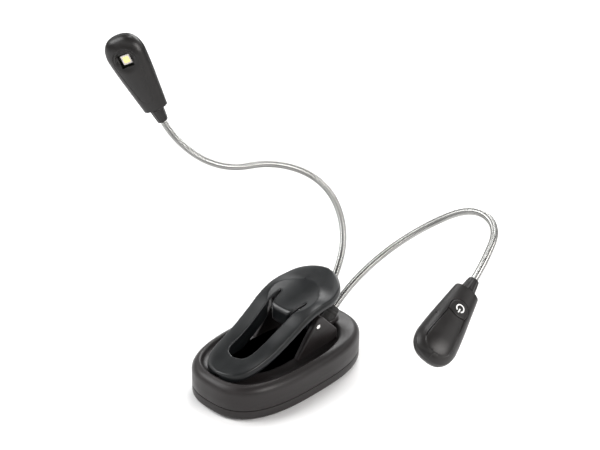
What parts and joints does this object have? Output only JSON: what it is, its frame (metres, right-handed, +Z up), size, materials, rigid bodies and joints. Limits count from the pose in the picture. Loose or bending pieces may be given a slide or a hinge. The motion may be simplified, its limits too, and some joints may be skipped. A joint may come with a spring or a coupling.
{
  "type": "clip on reading lamp",
  "caption": "Battery reading lamp: an oval base with a spring clip lever and two LED heads on bendable metal goosenecks.",
  "frame": {"origin": "on the surface the lamp stands on, under the middle of its base, on the battery door's foot pad", "axes": "+Z up; the clip's jaw points to -Y, the paddle and goosenecks are at +Y, +X is to the right seen from the jaw's side"},
  "size_m": [0.2438, 0.1478, 0.1714],
  "materials": {
    "satin_plastic": "satin",
    "gloss_plastic": "semi-gloss",
    "rubber": "matte",
    "polished_steel": "polished",
    "spring_steel": "satin",
    "cell": "printed wrap",
    "circuit_board": "solder mask",
    "led": "satin"
  },
  "bodies": {
    "base": {"base_lower_cover": "satin_plastic", "base_screw_1": "polished_steel", "base_screw_2": "polished_steel", "base_screw_3": "polished_steel", "base_screw_4": "polished_steel", "base_upper_shell": "satin_plastic", "battery_tray": "satin_plastic", "cell_1": "cell", "cell_1_spring": "spring_steel", "cell_2": "cell", "cell_2_spring": "spring_steel", "cell_3": "cell", "cell_3_spring": "spring_steel", "contact_plate_left": "spring_steel", "contact_plate_right": "spring_steel", "front_foot_pad": "rubber", "left_neck_1": "polished_steel", "left_neck_socket": "rubber", "lower_jaw_pad": "rubber", "pivot_pin": "polished_steel", "rear_foot_pad": "rubber", "right_neck_1": "polished_steel", "right_neck_socket": "rubber", "torsion_spring": "spring_steel"},
    "lever": {"clip_lever": "gloss_plastic", "lever_jaw_pad": "rubber"},
    "battery_door": {"battery_door": "satin_plastic", "door_foot_pad": "rubber"},
    "left_neck_2": {"left_neck_2": "polished_steel"},
    "left_neck_3": {"left_neck_3": "polished_steel"},
    "left_neck_4": {"left_neck_4": "polished_steel"},
    "left_neck_5": {"left_neck_5": "polished_steel"},
    "left_head": {"left_neck_6": "polished_steel", "left_front_shell": "satin_plastic", "left_back_shell": "satin_plastic", "left_back_panel": "satin_plastic", "left_circuit_board": "circuit_board", "left_led": "led", "left_switch": "spring_steel", "left_collar": "satin_plastic"},
    "left_button": {"left_button": "satin_plastic"},
    "right_neck_2": {"right_neck_2": "polished_steel"},
    "right_neck_3": {"right_neck_3": "polished_steel"},
    "right_neck_4": {"right_neck_4": "polished_steel"},
    "right_neck_5": {"right_neck_5": "polished_steel"},
    "right_head": {"right_neck_6": "polished_steel", "right_front_shell": "satin_plastic", "right_back_shell": "satin_plastic", "right_back_panel": "satin_plastic", "right_circuit_board": "circuit_board", "right_led": "led", "right_switch": "spring_steel", "right_collar": "satin_plastic"},
    "right_button": {"right_button": "satin_plastic"}
  },
  "joints": [
    {"name": "lever_hinge", "type": "hinge", "parent": "base", "child": "lever", "pos_m": [0, 0.0135, 0.0325], "axis": [-1, 0, 0], "range_deg": [0, 20], "stiffness_Nm_per_rad": 0.5, "springref_deg": -34.38, "deforming": ["torsion_spring"]},
    {"name": "battery_door_hinge", "type": "hinge", "parent": "base", "child": "battery_door", "pos_m": [0, -0.0059, 0.0006], "axis": [-1, 0, 0], "range_deg": [0, 80]},
    {"name": "left_bend_1", "type": "hinge", "parent": "base", "child": "left_neck_2", "pos_m": [-0.00623, 0.05677, 0.04793], "axis": [0.5746, -0.7147, 0.3988], "range_deg": [-26, 26]},
    {"name": "left_sway_2", "type": "hinge", "parent": "left_neck_2", "child": "left_neck_3", "pos_m": [-0.01591, 0.06401, 0.07486], "axis": [0.5703, 0.7469, 0.342], "range_deg": [-26, 26]},
    {"name": "left_bend_3", "type": "hinge", "parent": "left_neck_3", "child": "left_neck_4", "pos_m": [-0.03709, 0.05615, 0.09332], "axis": [0.6159, -0.6642, 0.4237], "range_deg": [-26, 26]},
    {"name": "left_sway_4", "type": "hinge", "parent": "left_neck_4", "child": "left_neck_5", "pos_m": [-0.05937, 0.03678, 0.09534], "axis": [0.5081, -0.24, -0.8272], "range_deg": [-26, 26]},
    {"name": "left_bend_5", "type": "hinge", "parent": "left_neck_5", "child": "left_head", "pos_m": [-0.08264, 0.01916, 0.09859], "axis": [-0.3463, 0.9191, 0.1879], "range_deg": [-26, 26]},
    {"name": "left_button_press", "type": "slide", "parent": "left_head", "child": "left_button", "axis": [0.5777, -0.8129, -0.0744], "range_m": [0, 0.0006], "stiffness_N_per_m": 600, "springref_m": -0.0005},
    {"name": "right_bend_1", "type": "hinge", "parent": "base", "child": "right_neck_2", "pos_m": [0.00922, 0.05978, 0.0449], "axis": [0.0699, 0.6668, -0.742], "range_deg": [-26, 12]},
    {"name": "right_sway_2", "type": "hinge", "parent": "right_neck_2", "child": "right_neck_3", "pos_m": [0.02204, 0.07927, 0.06362], "axis": [-0.6983, 0.7113, -0.08], "range_deg": [-26, 26]},
    {"name": "right_bend_3", "type": "hinge", "parent": "right_neck_3", "child": "right_neck_4", "pos_m": [0.04217, 0.0923, 0.08128], "axis": [0.3788, 0.5318, -0.7574], "range_deg": [-26, 12]},
    {"name": "right_sway_4", "type": "hinge", "parent": "right_neck_4", "child": "right_neck_5", "pos_m": [0.06883, 0.08929, 0.0925], "axis": [0.3654, 0.8413, 0.3984], "range_deg": [-26, 26]},
    {"name": "right_bend_5", "type": "hinge", "parent": "right_neck_5", "child": "right_head", "pos_m": [0.08925, 0.06822, 0.09187], "axis": [0.5205, 0.3856, -0.7618], "range_deg": [-26, 12]},
    {"name": "right_button_press", "type": "slide", "parent": "right_head", "child": "right_button", "axis": [-0.6686, 0.0755, -0.7398], "range_m": [0, 0.0006], "stiffness_N_per_m": 600, "springref_m": -0.0005}
  ]
}
